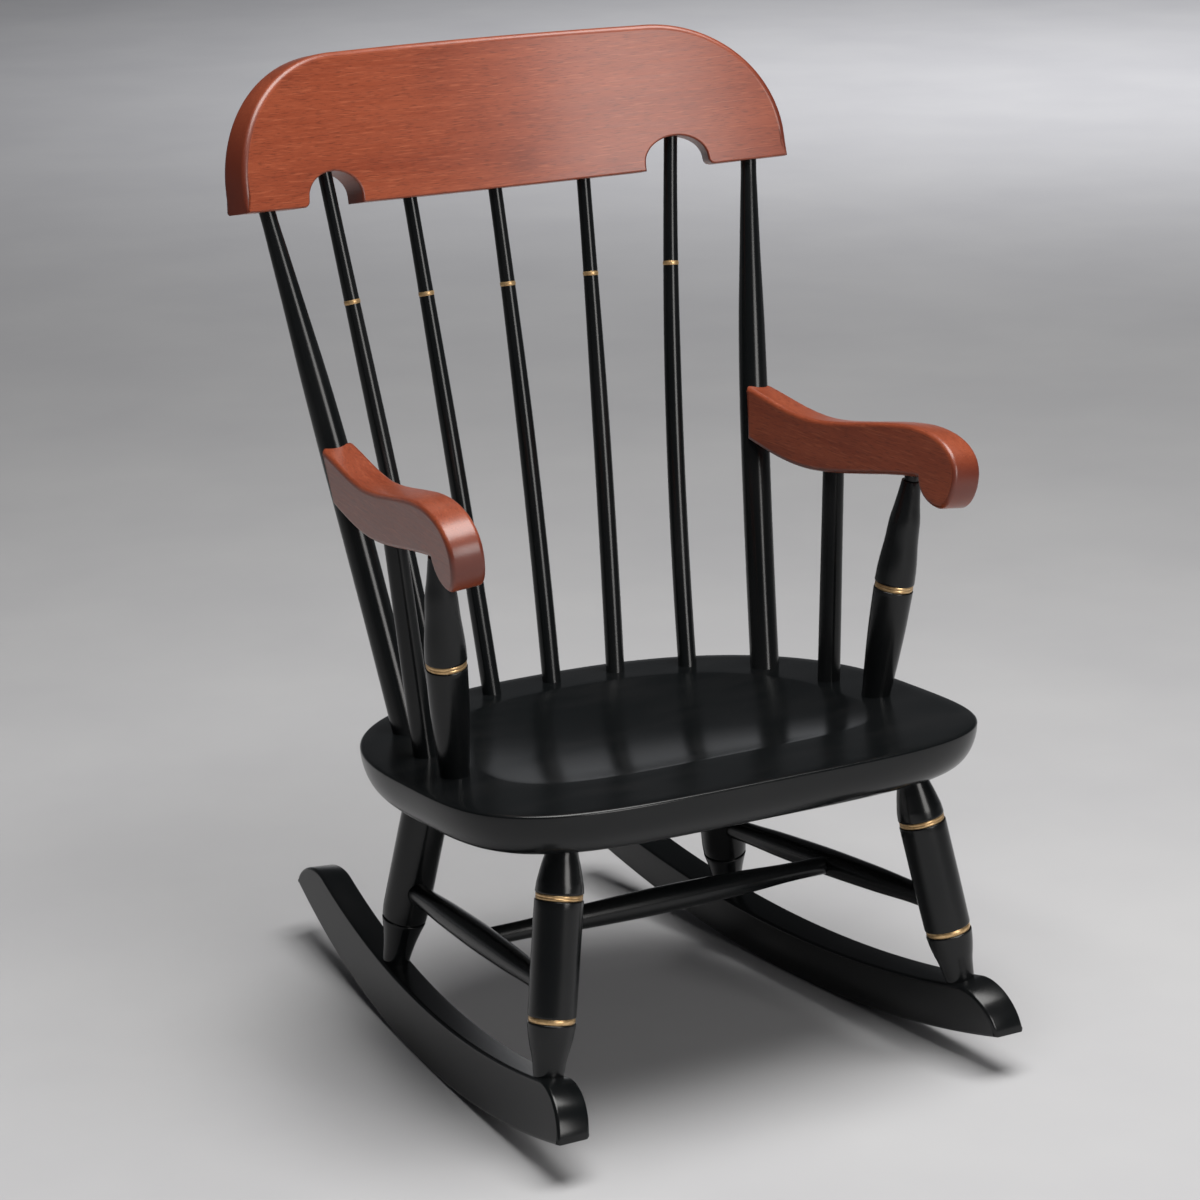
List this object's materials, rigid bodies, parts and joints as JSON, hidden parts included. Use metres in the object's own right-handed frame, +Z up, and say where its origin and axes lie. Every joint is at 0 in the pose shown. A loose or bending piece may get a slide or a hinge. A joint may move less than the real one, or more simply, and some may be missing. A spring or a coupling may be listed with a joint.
{
  "type": "rocking chair",
  "caption": "Child's wooden rocking chair: bent crest rail over a spindle back, scrolled arms, saddle seat and turned legs joined by stretchers on curved rockers.",
  "frame": {"origin": "on the floor, under the middle of the chair's box", "axes": "+Z up, -Y to the front of the chair, +X to the right in a front view (nodes named left are at -X)"},
  "size_m": [0.4636, 0.5248, 0.7134],
  "materials": {
    "cherry_wood": "clear satin over red-brown cherry grain",
    "black_lacquer": "satin black lacquer over hardwood",
    "gold_paint": "gold paint in the turned rings",
    "screw_steel": "plain steel wood screw"
  },
  "bodies": {
    "root": {"seat": "black_lacquer", "crest_rail": "cherry_wood", "back_post_left": "black_lacquer", "back_post_right": "black_lacquer", "back_spindle_1": "black_lacquer", "back_spindle_2": "black_lacquer", "back_spindle_3": "black_lacquer", "back_spindle_4": "black_lacquer", "back_spindle_5": "black_lacquer", "arm_left": "cherry_wood", "arm_right": "cherry_wood", "arm_spindle_left": "black_lacquer", "arm_spindle_right": "black_lacquer", "arm_post_left": "black_lacquer", "arm_post_right": "black_lacquer", "arm_screw_left": "screw_steel", "arm_screw_right": "screw_steel", "front_leg_left": "black_lacquer", "front_leg_right": "black_lacquer", "rear_leg_left": "black_lacquer", "rear_leg_right": "black_lacquer", "side_stretcher_left": "black_lacquer", "side_stretcher_right": "black_lacquer", "cross_stretcher": "black_lacquer", "rocker_left": "black_lacquer", "rocker_right": "black_lacquer"}
  },
  "joints": []
}
